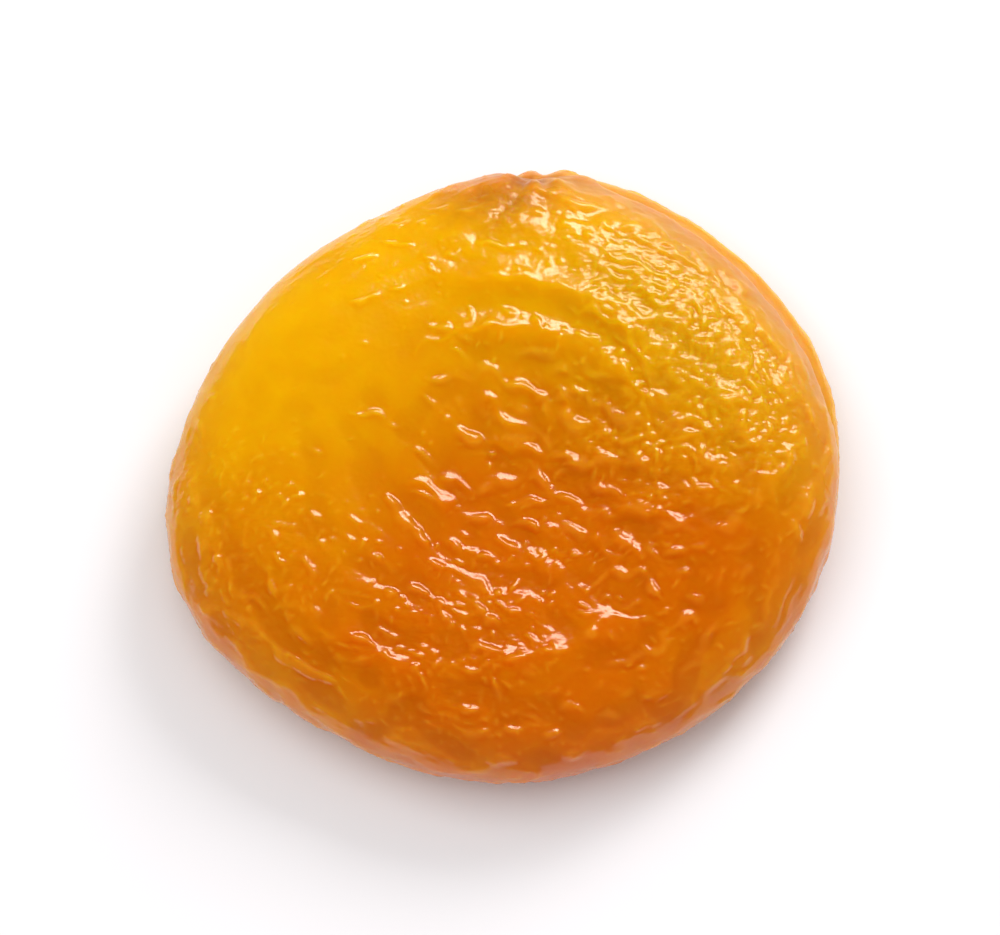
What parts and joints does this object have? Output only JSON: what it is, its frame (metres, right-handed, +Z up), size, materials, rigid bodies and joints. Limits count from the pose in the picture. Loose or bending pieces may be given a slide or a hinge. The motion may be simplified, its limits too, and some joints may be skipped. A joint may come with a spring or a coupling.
{
  "type": "dried apricot",
  "caption": "Whole stoned apricot dried to a thick wrinkled disc, with a slit between two lips along part of its rim; lies on a small flat spot.",
  "frame": {"origin": "middle of the flat spot on the underside that the fruit lies on", "axes": "+X along the longest way across the disc, +Y towards the stem end, +Z up out of the upper face"},
  "size_m": [0.0462, 0.0444, 0.0093],
  "materials": {
    "skin": "moist, glossy, translucent amber-orange dried skin with fine wrinkles"
  },
  "bodies": {
    "root": {"apricot": "skin"}
  },
  "joints": []
}
